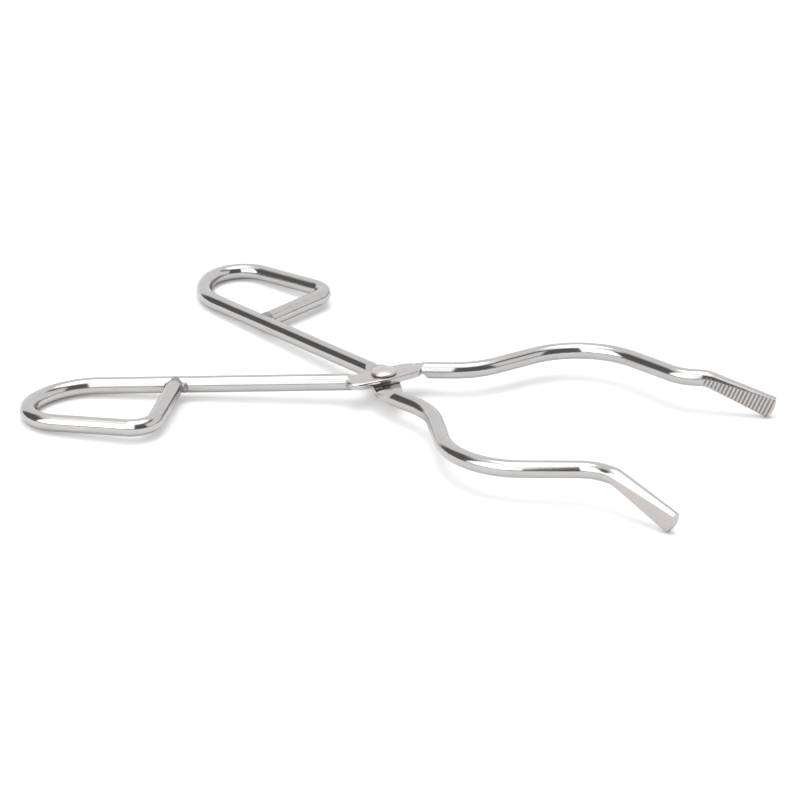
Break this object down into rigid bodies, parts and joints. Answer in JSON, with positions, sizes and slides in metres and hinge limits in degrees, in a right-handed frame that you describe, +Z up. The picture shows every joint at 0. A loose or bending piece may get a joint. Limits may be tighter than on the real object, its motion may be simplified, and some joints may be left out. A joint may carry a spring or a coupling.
{
  "type": "crucible tongs",
  "caption": "Scissor-like bench tongs of bent steel rod with D-shaped finger bows, a riveted half-lap pivot and curved jaws with toothed tips, for lifting hot crucibles.",
  "frame": {"origin": "centre of the bounding box in plan, on the table plane that the open tongs rest on", "axes": "+X runs from the finger bows to the tips, +Y to the user's left with the tips ahead, +Z up from the table; the rivet's axis leans 2.7 degrees back from +Z"},
  "size_m": [0.1982, 0.135, 0.0132],
  "materials": {
    "upper_arm_steel": "polished stainless rod with a fine grain along it, satin where pressed",
    "lower_arm_steel": "polished stainless rod with a fine grain along it, satin where pressed",
    "rivet_steel": "satin domed head",
    "upper_weld_steel": "ground weld, a little duller than the rod",
    "lower_weld_steel": "ground weld, a little duller than the rod"
  },
  "bodies": {
    "lower_half": {"lower_arm": "lower_arm_steel", "lower_bow_weld": "lower_weld_steel", "rivet": "rivet_steel"},
    "upper_half": {"upper_arm": "upper_arm_steel", "upper_bow_weld": "upper_weld_steel"}
  },
  "joints": [
    {"name": "pivot", "type": "hinge", "parent": "lower_half", "child": "upper_half", "pos_m": [-0.00885, 0, 0.00658], "axis": [-0.0464, 0, 0.9989], "range_deg": [-41.5, 44]}
  ]
}
